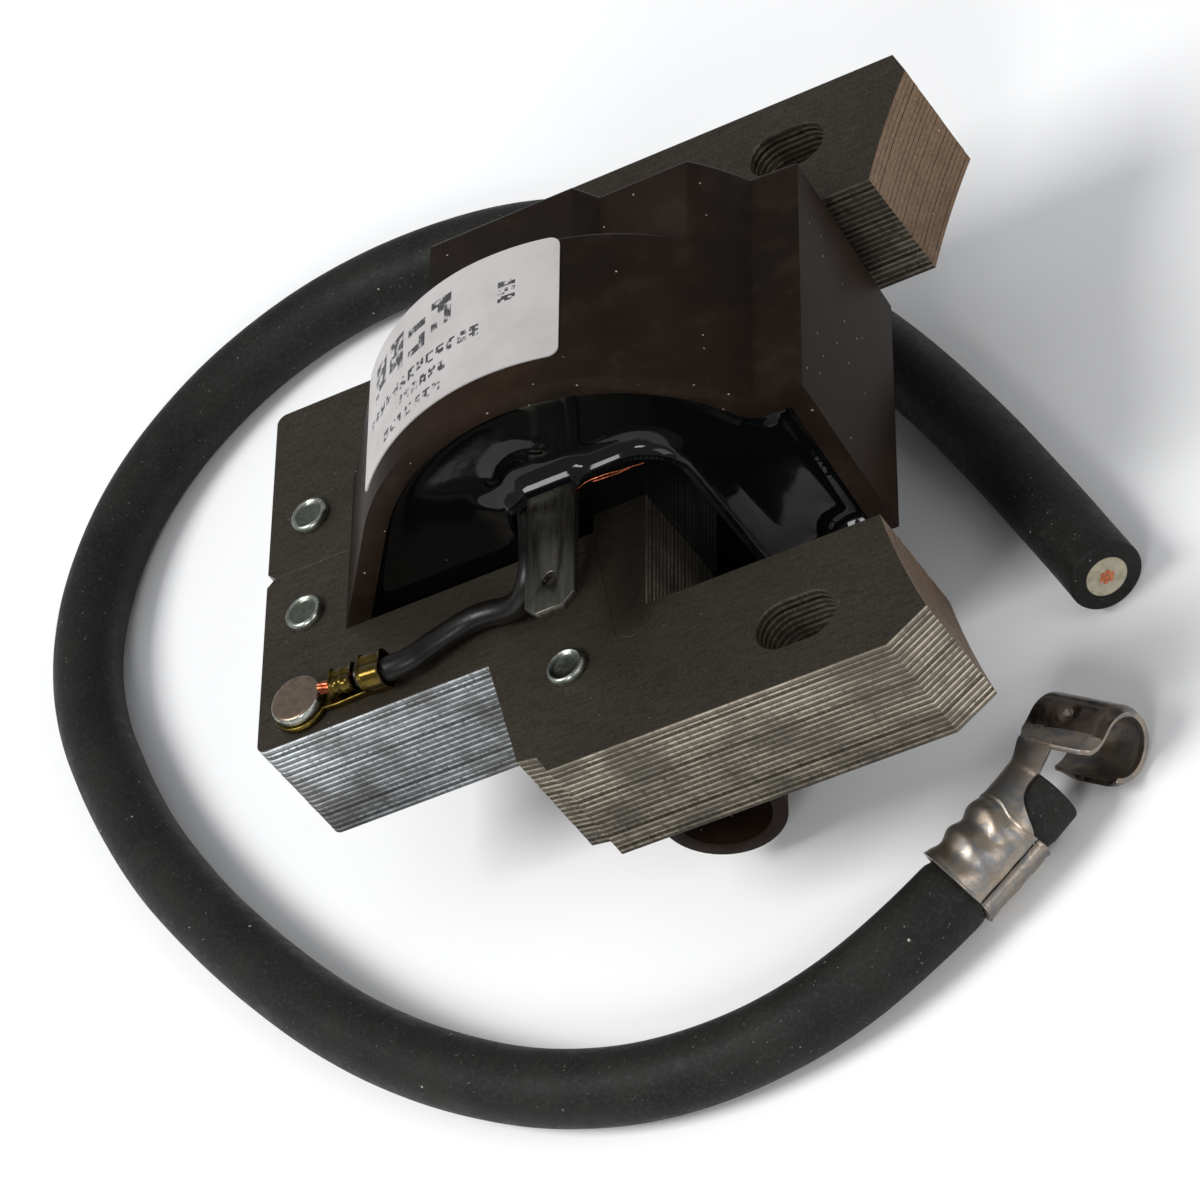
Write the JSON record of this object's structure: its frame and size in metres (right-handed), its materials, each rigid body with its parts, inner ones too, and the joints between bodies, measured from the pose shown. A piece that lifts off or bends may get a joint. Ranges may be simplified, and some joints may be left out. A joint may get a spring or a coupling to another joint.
{
  "type": "ignition coil",
  "caption": "Small-engine ignition coil: a riveted two-pole laminated core, a potted round housing with a hood, a stop-wire tab, a ground wire and a loose spark plug lead.",
  "frame": {"origin": "half way between the two mounting slots, on the back face of the lamination stack", "axes": "+X along the two arms towards the flywheel, +Y along the winding's axis towards the hooded side, +Z through the stack towards the rivet heads"},
  "size_m": [0.1159, 0.1196, 0.0464],
  "materials": {
    "lamination": "stacked electrical steel, satin grey-brown faces with bright cut edges",
    "rivet": "bright zinc, dulled on the rims",
    "shell": "moulded black-brown, satin, dusty",
    "potting": "cast black epoxy, very glossy",
    "bobbin": "natural nylon",
    "copper": null,
    "brass": "stamped brass, lightly tarnished",
    "board": "glass-epoxy board",
    "semiconductor": "black moulding compound",
    "resistor": "tan lacquer",
    "tab": "tinned strip, slightly tarnished",
    "label": "off-white, satin, worn print",
    "wire_jacket": "thin black insulation, semi-gloss",
    "lead_jacket": "matt black rubber, dusty and speckled",
    "insulation": "off-white inner insulation",
    "plated": "bright tinned spring steel"
  },
  "bodies": {
    "root": {"lower_core": "lamination", "upper_core": "lamination", "center_core": "lamination", "lower_yoke_rivet": "rivet", "upper_yoke_rivet": "rivet", "lower_arm_rivet": "rivet", "upper_arm_rivet": "rivet", "ground_rivet": "rivet", "ground_terminal": "brass", "ground_wire_jacket": "wire_jacket", "ground_wire_strands": "copper", "coil_housing": "shell", "potting": "potting", "primary_bobbin": "bobbin", "primary_winding": "copper", "secondary_bobbin": "bobbin", "secondary_winding": "copper", "tower_contact": "brass", "secondary_tap": "brass", "module_board": "board", "power_transistor": "semiconductor", "trigger_transistor": "semiconductor", "bias_resistor": "resistor", "stop_blade": "tab", "label": "label", "lead_jacket": "lead_jacket", "lead_insulation": "insulation", "lead_conductor": "copper", "plug_terminal": "plated"}
  },
  "joints": []
}
